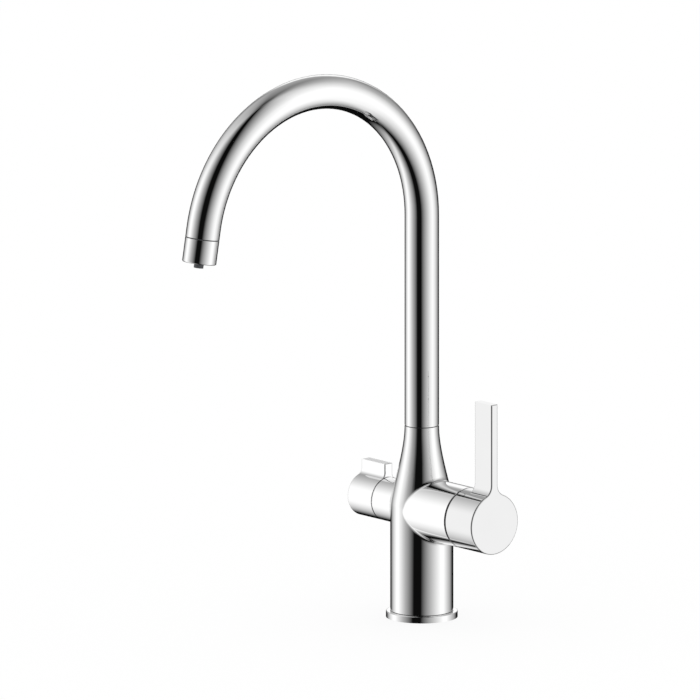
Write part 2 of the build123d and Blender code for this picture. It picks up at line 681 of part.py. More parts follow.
def filter_seat_washer():
    """Rubber washer between the chamber floor and the fixed disc."""
    washer = pipe(VALVE_BORE_RADIUS - FIXED_GAP, FILTER_INLET_RADIUS, VALVE_SEAT, VALVE_DISC_SEAT)
    return on_filter_barrel(washer)


def valve_disc(start, radius):
    """Ceramic disc with two quarter ports."""
    disc = rod(radius, start, start + VALVE_DISC_THICKNESS)
    quarter = Box(VALVE_DISC_THICKNESS, VALVE_PORT_RADIUS, VALVE_PORT_RADIUS)
    middle = start + VALVE_DISC_THICKNESS / 2
    shift = (VALVE_PORT_RADIUS + VALVE_PORT_WEB) / 2
    corners = Pos(middle, shift, shift) * quarter + Pos(middle, -shift, -shift) * quarter
    return disc - (corners & rod(VALVE_PORT_RADIUS, start, start + VALVE_DISC_THICKNESS))


def filter_disc_fixed():
    """Ceramic disc that lies still on the washer."""
    return on_filter_barrel(valve_disc(VALVE_DISC_SEAT, VALVE_BORE_RADIUS - FIXED_GAP))


def filter_disc_moving():
    """Ceramic disc that turns with the spindle, a quarter turn off the fixed one."""
    radius = VALVE_BORE_RADIUS - FREE_GAP
    return on_filter_barrel(Rot(90, 0, 0) * valve_disc(VALVE_DISC_FACE, radius))


def filter_spindle():
    """Two driving legs on a plate, the round spindle and its flatted end."""
    radius = VALVE_BORE_RADIUS - FREE_GAP
    legs = rod(radius, VALVE_DRIVER_FACE, VALVE_DRIVER_PLATE_FACE)
    middle = (VALVE_DRIVER_FACE + VALVE_DRIVER_PLATE_FACE) / 2
    span = 2 * (radius - VALVE_DRIVER_LEG_WIDTH)
    legs -= Pos(middle, 0, 0) * Box(VALVE_DRIVER_LEG, 2 * radius, span)
    spindle = legs + rod(radius, VALVE_DRIVER_PLATE_FACE, SPINDLE_START - FREE_GAP)
    spindle += rod(SPINDLE_RADIUS, SPINDLE_START - FREE_GAP, VALVE_NECK_END)
    spindle += flatted_rod(SPINDLE_END_RADIUS, SPINDLE_FLAT, VALVE_NECK_END, SPINDLE_END)
    return on_filter_barrel(spindle)


def filter_spindle_o_ring():
    """O-ring in the neck of the headwork."""
    ring = Torus(SPINDLE_RADIUS + RUNNING_GAP + SEAL_SECTION, SEAL_SECTION)
    return on_filter_barrel(Pos(VALVE_THREAD_END, 0, 0) * Rot(0, 90, 0) * ring)


def filter_trim_ring():
    """Ring at the bottom of the groove between the stub and the filter handle."""
    ring = pipe(FILTER_TRIM_RADIUS, FILTER_TRIM_BORE, FILTER_STUB_END, FILTER_STUB_END + FILTER_TRIM_REACH)
    spigot_start = FILTER_STUB_END - FILTER_TRIM_SPIGOT
    spigot = pipe(VALVE_THREAD_RADIUS - FIXED_GAP, FILTER_TRIM_BORE, spigot_start, FILTER_STUB_END)
    return on_filter_barrel(ring + spigot)


# Spout

def spout_path(start, tail):
    """Centre line: straight up, over the arch and a short straight tail."""
    rise = Line((0, 0, start), (0, 0, ARCH_START))
    angle = radians(ARCH_ANGLE)
    half = angle / 2
    middle = (0, ARCH_RADIUS * (cos(half) - 1), ARCH_START + ARCH_RADIUS * sin(half))
    end = (0, ARCH_RADIUS * (cos(angle) - 1), ARCH_START + ARCH_RADIUS * sin(angle))
    arch = ThreePointArc((0, 0, ARCH_START), middle, end)
    last = Line(arch @ 1, (arch @ 1) + (arch % 1) * tail)
    return Wire([rise.edge(), arch.edge(), last.edge()])


def swept_tube(outer, inner, start, tail):
    """Round tube along the centre line of the spout."""
    path = spout_path(start, tail)
    section = Pos(0, 0, start) * (Circle(outer) - Circle(inner))
    return sweep(section, path)


def outlet_place():
    """Place of the outlet: its +Z follows the water, z = 0 at the end of the tube."""
    path = spout_path(SPOUT_FOOT, SPOUT_TAIL)
    return Plane(origin=path @ 1, x_dir=(1, 0, 0), z_dir=path % 1)


def spout_tube():
    """Bent swan-neck tube, its end chamfered for the seam with the collar."""
    tube = swept_tube(SPOUT_RADIUS, SPOUT_BORE_RADIUS, SPOUT_FOOT, SPOUT_TAIL)
    circles = tube.edges().filter_by(GeomType.CIRCLE)
    end_circles = circles.sort_by_distance(outlet_place().origin)[:2]
    return chamfer(end_circles.sort_by(SortBy.RADIUS)[-1], SEAM_CHAMFER)


def filter_water_tube():
    """Tube of the filtered water, from its riser bore to the nozzle."""
    end = SPOUT_TAIL + nozzle_top() + NOZZLE_SOCKET
    start = RISER_FLOOR + WATER_TUBE_LIFT
    return swept_tube(WATER_TUBE_RADIUS, WATER_TUBE_RADIUS - WATER_TUBE_WALL, start, end)


def seal_heights():
    """Heights of the two O-rings on the spout insert."""
    lowest = SOCKET_FLOOR + LOWER_SEAL_RISE
    return (lowest, lowest + SEAL_SPACING)


def spout_insert():
    """Turned nipple: a spigot in the tube and a grooved shank in the neck."""
    insert = post(SPOUT_BORE_RADIUS - FIXED_GAP, SPOUT_FOOT, SPOUT_FOOT + INSERT_SPIGOT)
    insert += post(INSERT_RADIUS, SOCKET_FLOOR + FREE_GAP, SPOUT_FOOT)
    for height in seal_heights():
        low = height - O_RING_GROOVE / 2
        insert -= sleeve(INSERT_RADIUS, INSERT_RADIUS - O_RING_DEPTH, low, low + O_RING_GROOVE)
    low = RETAINER_HEIGHT - RETAINER_WIDTH / 2 - FIXED_GAP
    high = RETAINER_HEIGHT + RETAINER_WIDTH / 2 + FIXED_GAP
    insert -= sleeve(INSERT_RADIUS, INSERT_RADIUS - RETAINER_DEPTH, low, high)
    return insert - post(INSERT_BORE_RADIUS, SOCKET_FLOOR, SPOUT_FOOT + INSERT_SPIGOT)


def spout_o_rings():
    """Two O-rings between the spout insert and the neck."""
    ring = Torus(INSERT_RADIUS - SEAL_SECTION, SEAL_SECTION)
    return Compound([(Pos(0, 0, height) * ring).solid() for height in seal_heights()])


def spout_retaining_ring():
    """Split ring in the insert that springs into the groove of the neck."""
    low = RETAINER_HEIGHT - RETAINER_WIDTH / 2
    inner = INSERT_RADIUS - RETAINER_DEPTH + FIXED_GAP
    outer = SOCKET_RADIUS + RETAINER_REACH
    ring = sleeve(outer, inner, low, low + RETAINER_WIDTH)
    return ring - Pos(0, outer, RETAINER_HEIGHT) * Box(RETAINER_SPLIT, 2 * outer, RETAINER_WIDTH)


def spout_bearing_ring():
    """Slip ring between the neck and the spout, the dark line of the seam."""
    outer = SPOUT_RADIUS - BEARING_RECESS
    return sleeve(outer, SOCKET_RADIUS + FREE_GAP, NECK_TOP, SPOUT_FOOT)


# Outlet, built with +Z along the water and z = 0 at the end of the tube

def nozzle_top():
    """Where the wide head of the nozzle starts."""
    return COLLAR_LENGTH - AERATOR_RECESS - AERATOR_HEIGHT


def outlet_collar():
    """End collar with a spigot in the tube and a stepped bore for the aerator."""
    outer = sleeve(SPOUT_RADIUS, SPOUT_BORE_RADIUS - COLLAR_SPIGOT_WALL, 0, COLLAR_LENGTH)
    outer = chamfer(widest_rims(outer)[0], SEAM_CHAMFER)
    outer = fillet(widest_rims(outer)[-1], COLLAR_EDGE_ROUND)
    spigot_radius = SPOUT_BORE_RADIUS - FIXED_GAP
    spigot = sleeve(spigot_radius, SPOUT_BORE_RADIUS - COLLAR_SPIGOT_WALL, -COLLAR_SPIGOT, 0)
    step = nozzle_top() - AERATOR_SEAL_HEIGHT
    return outlet_place() * (outer + spigot - post(AERATOR_RADIUS, step, COLLAR_LENGTH))


def aerator_seal():
    """Rubber washer between the aerator and the step in the collar."""
    outer = AERATOR_RADIUS - FIXED_GAP
    step = nozzle_top() - AERATOR_SEAL_HEIGHT
    return outlet_place() * sleeve(outer, outer - AERATOR_SEAL_WIDTH, step, nozzle_top())


def aerator_insert():
    """Cup with rings of jets for the mixed water and a middle hole for the nozzle."""
    radius = AERATOR_RADIUS - FIXED_GAP
    top = nozzle_top()
    bottom = COLLAR_LENGTH - AERATOR_RECESS
    cup = post(radius, top, bottom)
    cup -= sleeve(radius - AERATOR_WALL, NOZZLE_HEAD_RADIUS + AERATOR_WALL, top, bottom - AERATOR_FLOOR)
    cup -= post(NOZZLE_HEAD_RADIUS + FIXED_GAP, top, bottom - AERATOR_FLOOR)
    cup -= post(NOZZLE_RADIUS + FIXED_GAP, top, bottom)
    for row_radius, count in zip(JET_ROW_RADII, JET_ROW_COUNTS):
        jet = post(JET_RADIUS, bottom - AERATOR_FLOOR, bottom, row_radius)
        for index in range(count):
            cup -= Rot(0, 0, 360 / count * index) * jet
    return outlet_place() * cup


def filter_nozzle():
    """Nozzle of the filtered water, its head seated on the floor of the aerator."""
    top = nozzle_top()
    seat = COLLAR_LENGTH - AERATOR_RECESS - AERATOR_FLOOR
    tip = COLLAR_LENGTH + NOZZLE_SHOW
    nozzle = post(NOZZLE_RADIUS, seat, tip)
    nozzle = fillet(nozzle.edges().group_by(Axis.Z)[-1], NOZZLE_EDGE_ROUND)
    nozzle += post(NOZZLE_HEAD_RADIUS, top, seat)
    nozzle -= post(WATER_TUBE_RADIUS + FIXED_GAP, top, top + NOZZLE_SOCKET)
    nozzle -= post(WATER_TUBE_RADIUS - WATER_TUBE_WALL, top, tip)
    return outlet_place() * nozzle


NODES = (
    base_ring,
    base_seal,
    tap_body,
    riser_o_ring,
    mixer_cartridge_housing,
    mixer_port_seals,
    mixer_disc_fixed,
    mixer_stem_o_ring,
    mixer_retaining_nut,
    mixer_trim_ring,
    mixer_lever,
    mixer_stem,
    mixer_disc_moving,
    mixer_grub_screw,
    filter_valve_housing,
    filter_seat_washer,
    filter_disc_fixed,
    filter_spindle_o_ring,
    filter_trim_ring,
    filter_lever,
    filter_spindle,
    filter_disc_moving,
    filter_grub_screw,
    spout_bearing_ring,
    spout_tube,
    spout_insert,
    spout_o_rings,
    spout_retaining_ring,
    filter_water_tube,
    outlet_collar,
    aerator_seal,
    aerator_insert,
    filter_nozzle,
)

if __name__ == "__main__":
    os.makedirs("parts", exist_ok=True)
    for make in NODES:
        export_step(make(), f"parts/{make.__name__}.step")
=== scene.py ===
"""Three way filtered water tap, dressed and lit for the studio.

Each class is one sub-assembly of the tap or the studio round it.  Sizes are in metres in
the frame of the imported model, unless a name or comment gives millimetres or degrees.
"""

import logging
from dataclasses import dataclass, field
from enum import Enum
from math import cos, radians, sin, sqrt
from typing import Any, Mapping, Sequence

import bpy
from mathutils import Matrix, Vector


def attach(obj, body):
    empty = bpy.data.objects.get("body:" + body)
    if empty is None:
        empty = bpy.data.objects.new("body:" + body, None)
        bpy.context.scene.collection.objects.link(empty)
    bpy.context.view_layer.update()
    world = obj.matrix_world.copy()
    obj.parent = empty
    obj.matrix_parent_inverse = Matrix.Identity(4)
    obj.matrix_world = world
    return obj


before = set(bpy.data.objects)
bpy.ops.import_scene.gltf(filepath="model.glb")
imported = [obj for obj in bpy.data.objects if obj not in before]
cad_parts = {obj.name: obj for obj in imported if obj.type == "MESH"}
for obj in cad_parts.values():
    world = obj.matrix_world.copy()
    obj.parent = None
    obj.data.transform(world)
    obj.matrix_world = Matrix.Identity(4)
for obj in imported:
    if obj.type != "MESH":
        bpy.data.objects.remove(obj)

log = logging.getLogger("tap")

MM = 0.001

# Sockets of a mix node, which share their names and so go by number
SHARE = 0
NUMBER_A, NUMBER_B, MIXED_NUMBER = 2, 3, 0
COLOUR_A, COLOUR_B, MIXED_COLOUR = 6, 7, 2

# Width of one band of a wave texture at a scale of 1
WAVE_BAND = 0.314

# Modelling
MERGE_DISTANCE = 0.01 * MM      # points closer than this are one
SMOOTH_ANGLE = radians(30.0)    # edges sharper than this stay sharp
FULL_TURN = radians(360.0)

Stops = Sequence[tuple[float, float]]
Colour = tuple[float, float, float, float]


class Body(Enum):
    """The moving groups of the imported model."""

    TAP = "body"
    MIXER_HANDLE = "mixer_handle"
    FILTER_HANDLE = "filter_handle"
    SPOUT = "spout"


class Slot(Enum):
    """Material slots of the record."""

    CHROME = "chrome_plated_brass"
    BRASS = "brass"
    RUBBER = "nitrile_rubber"
    CERAMIC = "alumina"
    WHITE_ACETAL = "acetal_white"
    BLACK_ACETAL_GROOVE_SHADE = "acetal_black"
    GREY_PLASTIC = "grey_plastic"
    STAINLESS = "stainless_steel"


class Turning(Enum):
    """Axis that a turned piece was machined about."""

    ALONG_X = (0.0, radians(90.0), 0.0)
    UPRIGHT = (0.0, 0.0, 0.0)


# Nodes and colours


def linear(hex_colour: str) -> Colour:
    """Turn an sRGB hex colour into a linear one.

    Args:
        hex_colour: Colour such as "#F3F4F5".

    Returns:
        Linear red, green, blue and an alpha of 1.
    """
    channels = [int(hex_colour[i : i + 2], 16) / 255 for i in (1, 3, 5)]
    red, green, blue = (
        c / 12.92 if c <= 0.04045 else ((c + 0.055) / 1.055) ** 2.4 for c in channels
    )
    return red, green, blue, 1.0


def add_node(
    tree: bpy.types.NodeTree,
    kind: str,
    inputs: Mapping[Any, Any] | None = None,
    stops: Stops | None = None,
    **settings: Any,
) -> bpy.types.Node:
    """Add a node with its settings, its inputs and the stops of its ramp.

    Args:
        tree: Node tree of a material or world.
        kind: Type name of the node.
        inputs: Value, or output socket to link, for each input by name or number.
        stops: Place and grey level of each stop, for a colour ramp.
        **settings: Properties of the node.

    Returns:
        The new node.
    """
    node = tree.nodes.new(kind)
    for name, value in settings.items():
        setattr(node, name, value)
    for key, value in (inputs or {}).items():
        if isinstance(value, bpy.types.NodeSocket):
            tree.links.new(value, node.inputs[key])
        else:
            node.inputs[key].default_value = value
    if stops:
        elements = node.color_ramp.elements
        while len(elements) < len(stops):
            elements.new(1.0)
        for element, (place, level) in zip(elements, stops):
            element.position = place
            element.color = (level, level, level, 1.0)
    return node


# Finishes


@dataclass(frozen=True)
class Finish:
    """A surface finish that becomes one material.

    Attributes:
        name: Name of the material.
        slot: Slot of the record that the finish belongs to; not used.
    """

    name: str
    slot: Slot

    def material(self) -> bpy.types.Material:
        """Return the material of this finish, made the first time it is asked for."""
        found = bpy.data.materials.get(self.name)
        return found or self._make()

    def _make(self) -> bpy.types.Material:
        """Make the material.

        Returns:
            Material with a surface shader between the pattern nodes and the output.
        """
        made = bpy.data.materials.new(self.name)
        made.use_nodes = True
        tree = made.node_tree
        tree.nodes.clear()
        place = add_node(tree, "ShaderNodeTexCoord").outputs["Object"]
        surface = add_node(tree, "ShaderNodeBsdfPrincipled", self.constants())
        add_node(tree, "ShaderNodeOutputMaterial", {"Surface": surface.outputs[0]})
        self.pattern(tree, surface, place)
        return made

    def constants(self) -> dict[str, Any]:
        """Return the shader inputs that are the same all over the surface."""
        return {}

    def pattern(
        self, tree: bpy.types.NodeTree, surface: bpy.types.Node, place: bpy.types.NodeSocket
    ) -> None:
        """Add the detail of the surface.

        Args:
            tree: Node tree of the material.
            surface: Its shader.
            place: Point of the surface in metres.
        """


@dataclass(frozen=True)
class ChromePlate(Finish):
    """Bright chrome, electroplated over cast or drawn brass that was polished by hand.

    The eye sees a mirror: black and white bands with clean edges.  The polishing below the
    plating makes them waver a little, wiped water marks soften them in patches, and water
    that dried on a level face can leave it satin.

    Attributes:
        colour: Colour of the clean plate.
        wiped_colour: Colour where water was wiped off.
        polish_wave: Length of the waves that polishing left.
        polish_height: Height of these waves.
        wipe_mark: Size of a wiped patch.
        wipe_edge: Levels of the noise between which a patch fades in.
        roughness: Roughness of the clean plate and of a wiped patch.
        level_film: Roughness that dried water adds to a level face.
        level_facing: Upward parts of the normal between which a face becomes level.
    """

    colour: str = "#F9F9F9"
    wiped_colour: str = "#F6F6F6"
    polish_wave: float = 9 * MM
    polish_height: float = 0.0016 * MM
    wipe_mark: float = 28 * MM
    wipe_edge: tuple[float, float] = (0.35, 0.7)
    roughness: tuple[float, float] = (0.012, 0.03)
    level_film: float = 0.0
    level_facing: tuple[float, float] = (0.97, 0.995)

    def constants(self) -> dict[str, Any]:
        """Return the shader inputs of a plain metal."""
        return {"Metallic": 1.0}

    def pattern(
        self, tree: bpy.types.NodeTree, surface: bpy.types.Node, place: bpy.types.NodeSocket
    ) -> None:
        """Add the polishing waves, the wiped water marks and the film of dried water.

        Args:
            tree: Node tree of the material.
            surface: Its shader.
            place: Point of the surface in metres.
        """
        marks = add_node(
            tree,
            "ShaderNodeTexNoise",
            {"Vector": place, "Scale": 1 / self.wipe_mark, "Detail": 3.0, "Roughness": 0.6},
        )
        soft = add_node(
            tree,
            "ShaderNodeMapRange",
            {
                "Value": marks.outputs[0],
                "From Min": self.wipe_edge[0],
                "From Max": self.wipe_edge[1],
                "To Min": self.roughness[0],
                "To Max": self.roughness[1],
            },
        )
        tone = add_node(
            tree,
            "ShaderNodeMix",
            {
                SHARE: marks.outputs[0],
                COLOUR_A: linear(self.colour),
                COLOUR_B: linear(self.wiped_colour),
            },
            data_type="RGBA",
        )
        waves = add_node(
            tree,
            "ShaderNodeTexNoise",
            {"Vector": place, "Scale": 1 / self.polish_wave, "Detail": 1.0},
        )
        bump = add_node(
            tree,
            "ShaderNodeBump",
            {"Height": waves.outputs[0], "Distance": self.polish_height},
        )
        normal = add_node(tree, "ShaderNodeTexCoord").outputs["Normal"]
        facing = add_node(tree, "ShaderNodeSeparateXYZ", {"Vector": normal})
        film = add_node(
            tree,
            "ShaderNodeMapRange",
            {
                "Value": facing.outputs["Z"],
                "From Min": self.level_facing[0],
                "From Max": self.level_facing[1],
                "To Max": self.level_film,
            },
        )
        rough = add_node(
            tree,
            "ShaderNodeMath",
            {0: soft.outputs[0], 1: film.outputs[0]},
            operation="ADD",
        )
        tree.links.new(tone.outputs[MIXED_COLOUR], surface.inputs["Base Color"])
        tree.links.new(rough.outputs[0], surface.inputs["Roughness"])
        tree.links.new(bump.outputs[0], surface.inputs["Normal"])


@dataclass(frozen=True)
class BareFootChrome(ChromePlate):
    """Chrome plate on the casting, whose foot was faced and tapped after plating.

    The eye sees the yellow of bare brass under the foot and inside its threaded holes.

    Attributes:
        bare_radius: From the middle of the foot to where the plating starts.
        bare_height: Height of the bare brass inside the holes.
        brass: Colour of the bare brass.
        brass_roughness: Roughness that the cutter left on it.
    """

    bare_radius: float = 18.5 * MM
    bare_height: float = 25 * MM
    brass: str = "#E6C88A"
    brass_roughness: float = 0.3

    def pattern(
        self, tree: bpy.types.NodeTree, surface: bpy.types.Node, place: bpy.types.NodeSocket
    ) -> None:
        """Add the plating's detail and change it to brass at the foot.

        Args:
            tree: Node tree of the material.
            surface: Its shader.
            place: Point of the surface in metres.
        """
        super().pattern(tree, surface, place)
        level = add_node(
            tree,
            "ShaderNodeVectorMath",
            {0: place, 1: (1.0, 1.0, 0.0)},
            operation="MULTIPLY",
        )
        reach = add_node(
            tree, "ShaderNodeVectorMath", {0: level.outputs[0]}, operation="LENGTH"
        )
        inside = add_node(
            tree,
            "ShaderNodeMath",
            {0: reach.outputs["Value"], 1: self.bare_radius},
            operation="LESS_THAN",
        )
        height = add_node(tree, "ShaderNodeSeparateXYZ", {"Vector": place})
        low = add_node(
            tree,
            "ShaderNodeMath",
            {0: height.outputs["Z"], 1: self.bare_height},
            operation="LESS_THAN",
        )
        bare = add_node(
            tree,
            "ShaderNodeMath",
            {0: inside.outputs[0], 1: low.outputs[0]},
            operation="MULTIPLY",
        )
        colour = surface.inputs["Base Color"]
        tone = add_node(
            tree,
            "ShaderNodeMix",
            {
                SHARE: bare.outputs[0],
                COLOUR_A: colour.links[0].from_socket,
                COLOUR_B: linear(self.brass),
            },
            data_type="RGBA",
        )
        roughness = surface.inputs["Roughness"]
        soft = add_node(
            tree,
            "ShaderNodeMix",
            {
                SHARE: bare.outputs[0],
                NUMBER_A: roughness.links[0].from_socket,
                NUMBER_B: self.brass_roughness,
            },
        )
        tree.links.new(tone.outputs[MIXED_COLOUR], colour)
        tree.links.new(soft.outputs[MIXED_NUMBER], roughness)


@dataclass(frozen=True)
class TurnedMetal(Finish):
    """Brass or steel left as the lathe leaves it.

    The eye sees a satin metal with fine rings round the axis and duller patches between.

    Attributes:
        colour: Colour of the fresh cut.
        dull_colour: Colour where it has dulled.
        turning: Axis that the piece was turned about.
        feed: Distance between two rings, drawn about twice the real one so that it shows.
        groove: Depth of a ring.
        ring_waver: Distortion that keeps the rings from looking drawn.
        dull_patch: Size of a dull patch.
        roughness: Roughness of the fresh cut and of a dull patch.
    """

    colour: str
    dull_colour: str
    turning: Turning
    feed: float = 0.35 * MM
    groove: float = 0.006 * MM
    ring_waver: float = 0.4
    dull_patch: float = 6 * MM
    roughness: tuple[float, float] = (0.22, 0.38)

    def constants(self) -> dict[str, Any]:
        """Return the shader inputs of a plain metal."""
        return {"Metallic": 1.0}

    def pattern(
        self, tree: bpy.types.NodeTree, surface: bpy.types.Node, place: bpy.types.NodeSocket
    ) -> None:
        """Add the tool marks and the dull patches.

        Args:
            tree: Node tree of the material.
            surface: Its shader.
            place: Point of the surface in metres.
        """
        turned = add_node(
            tree,
            "ShaderNodeMapping",
            {"Vector": place, "Rotation": self.turning.value},
        )
        rings = add_node(
            tree,
            "ShaderNodeTexWave",
            {
                "Vector": turned.outputs[0],
                "Scale": WAVE_BAND / self.feed,
                "Distortion": self.ring_waver,
            },
            bands_direction="Z",
        )
        patches = add_node(
            tree,
            "ShaderNodeTexNoise",
            {"Vector": place, "Scale": 1 / self.dull_patch, "Detail": 4.0},
        )
        tone = add_node(
            tree,
            "ShaderNodeMix",
            {
                SHARE: patches.outputs[0],
                COLOUR_A: linear(self.colour),
                COLOUR_B: linear(self.dull_colour),
            },
            data_type="RGBA",
        )
        rough = add_node(
            tree,
            "ShaderNodeMapRange",
            {
                "Value": patches.outputs[0],
                "To Min": self.roughness[0],
                "To Max": self.roughness[1],
            },
        )
        bump = add_node(
            tree, "ShaderNodeBump", {"Height": rings.outputs[1], "Distance": self.groove}
        )
        tree.links.new(tone.outputs[MIXED_COLOUR], surface.inputs["Base Color"])
        tree.links.new(rough.outputs[0], surface.inputs["Roughness"])
        tree.links.new(bump.outputs[0], surface.inputs["Normal"])


@dataclass(frozen=True)
class Moulded(Finish):
    """Plastic, rubber or fired ceramic that takes its surface from a mould or a lap.

    The eye sees an even body colour, clouded a little, under a fine grain.

    Attributes:
        colour: Colour of most of it.
        cloud_colour: Colour of the clouds.
        grain: Size of a grain.
        grain_height: Height of a grain.
        roughness: Roughness of the smoothest and of the roughest places.
        ior: Index of refraction.
        cloud: Size of a cloud.
    """

    colour: str
    cloud_colour: str
    grain: float
    grain_height: float
    roughness: tuple[float, float]
    ior: float
    cloud: float = 7 * MM

    def constants(self) -> dict[str, Any]:
        """Return the index of the plastic, rubber or ceramic."""
        return {"IOR": self.ior}

    def pattern(
        self, tree: bpy.types.NodeTree, surface: bpy.types.Node, place: bpy.types.NodeSocket
    ) -> None:
        """Add the clouded colour and the grain.

        Args:
            tree: Node tree of the material.
            surface: Its shader.
            place: Point of the surface in metres.
        """
        clouds = add_node(
            tree,
            "ShaderNodeTexNoise",
            {"Vector": place, "Scale": 1 / self.cloud, "Detail": 3.0},
        )
        tone = add_node(
            tree,
            "ShaderNodeMix",
            {
                SHARE: clouds.outputs[0],
                COLOUR_A: linear(self.colour),
                COLOUR_B: linear(self.cloud_colour),
            },
            data_type="RGBA",
        )
        rough = add_node(
            tree,
            "ShaderNodeMapRange",
            {
                "Value": clouds.outputs[0],
                "To Min": self.roughness[0],
                "To Max": self.roughness[1],
            },
        )
        grain = add_node(
            tree,
            "ShaderNodeTexNoise",
            {"Vector": place, "Scale": 1 / self.grain, "Detail": 2.0},
        )
        bump = add_node(
            tree,
            "ShaderNodeBump",
            {"Height": grain.outputs[0], "Distance": self.grain_height},
        )
        tree.links.new(tone.outputs[MIXED_COLOUR], surface.inputs["Base Color"])
        tree.links.new(rough.outputs[0], surface.inputs["Roughness"])
        tree.links.new(bump.outputs[0], surface.inputs["Normal"])


# A bright mirror on drawn tube and turned rings
CHROME = ChromePlate("chrome-plated brass", Slot.CHROME)
# The same mirror on the casting, and yellow brass where no plate reached
BODY_CHROME = BareFootChrome("chrome-plated brass casting", Slot.CHROME)
# A shade greyer, painted shade, so that the flat faces of the lever read pale grey against
# the white paper
GREYED_LEVER_CHROME = ChromePlate(
    "greyed chrome of the lever", Slot.CHROME, "#EAEAEA", "#E6E6E6"
)
# Satin and grey on the tab's level top, where water dried, and a mirror elsewhere
TAB_CHROME = ChromePlate(
    "chrome-plated zinc of the filter handle", Slot.CHROME, level_film=0.4
)
# Warm satin brass with rings round the axis of the barrels
TURNED_BRASS = TurnedMetal(
    "turned brass", Slot.BRASS, "#E6C88A", "#D2AE6B", Turning.ALONG_X
)
# The same with rings round the column
NIPPLE_BRASS = TurnedMetal(
    "turned brass nipple", Slot.BRASS, "#E6C88A", "#D2AE6B", Turning.UPRIGHT
)
# Cool grey satin steel
SCREW_STEEL = TurnedMetal(
    "stainless steel screw", Slot.STAINLESS, "#D6D5D2", "#BFBEBA", Turning.UPRIGHT
)
# Dull black with a soft grain
RUBBER = Moulded(
    "nitrile rubber",
    Slot.RUBBER,
    "#232426",
    "#2C2D2F",
    grain=0.4 * MM,
    grain_height=0.01 * MM,
    roughness=(0.6, 0.8),
    ior=1.52,
)
# Ivory white, lapped so flat that it shines
CERAMIC = Moulded(
    "lapped alumina",
    Slot.CERAMIC,
    "#F0EDE6",
    "#E7E3DA",
    grain=0.2 * MM,
    grain_height=0.001 * MM,
    roughness=(0.12, 0.22),
    ior=1.76,
)
# Milky white with the soft shine of a machine part
WHITE_ACETAL = Moulded(
    "white acetal",
    Slot.WHITE_ACETAL,
    "#EDECE8",
    "#E6E5E0",
    grain=0.3 * MM,
    grain_height=0.003 * MM,
    roughness=(0.3, 0.42),
    ior=1.48,
)
# Near black, a painted shade: a ring in a groove shows as the dark line of the groove's
# shade
BLACK_ACETAL_GROOVE_SHADE = Moulded(
    "black acetal as groove shade",
    Slot.BLACK_ACETAL_GROOVE_SHADE,
    "#161618",
    "#1E1E20",
    grain=0.3 * MM,
    grain_height=0.003 * MM,
    roughness=(0.35, 0.5),
    ior=1.48,
)
# Dark grey painted shade for a seam, so that the seam still shows where the chrome is black
SEAM_SHADE_PLASTIC = Moulded(
    "dark grey acetal seam shade",
    Slot.GREY_PLASTIC,
    "#3C3E41",
    "#333538",
    grain=0.3 * MM,
    grain_height=0.003 * MM,
    roughness=(0.35, 0.5),
    ior=1.48,
)
# Mid grey and finely grained, as moulded nozzles are
GREY_PLASTIC = Moulded(
    "grey acetal nozzle plastic",
    Slot.GREY_PLASTIC,
    "#56585B",
    "#4A4C4F",
    grain=0.35 * MM,
    grain_height=0.004 * MM,
    roughness=(0.3, 0.45),
    ior=1.48,
)


# Modelling


def start_section(name: str, radius: float, place: Matrix) -> bpy.types.Object:
    """Add the outline of a three-cornered section at its place.

    Args:
        name: Name of the piece.
        radius: From the middle of the section to a corner.
        place: Its plane and middle, with the first corner towards +Y of that plane.

    Returns:
        The new piece, with the place in its mesh.
    """
    bpy.ops.object.select_all(action="DESELECT")
    bpy.ops.mesh.primitive_circle_add(
        vertices=3, radius=radius, location=place.translation, rotation=place.to_euler()
    )
    bpy.ops.object.transform_apply(location=True, rotation=True, scale=True)
    piece = bpy.context.object
    piece.name = piece.data.name = name
    return piece


def close_mesh() -> None:
    """Merge the seams of the active piece, close its ends and turn its faces outwards."""
    bpy.ops.object.mode_set(mode="EDIT")
    bpy.ops.mesh.select_all(action="SELECT")
    bpy.ops.mesh.remove_doubles(threshold=MERGE_DISTANCE)
    bpy.ops.mesh.fill_holes(sides=0)
    bpy.ops.mesh.normals_make_consistent(inside=False)
    bpy.ops.object.mode_set(mode="OBJECT")
    bpy.ops.object.shade_smooth_by_angle(angle=SMOOTH_ANGLE)


def give_finish(piece: bpy.types.Object, finish: Finish) -> None:
    """Give a new piece its material."""
    piece.data.materials.append(finish.material())


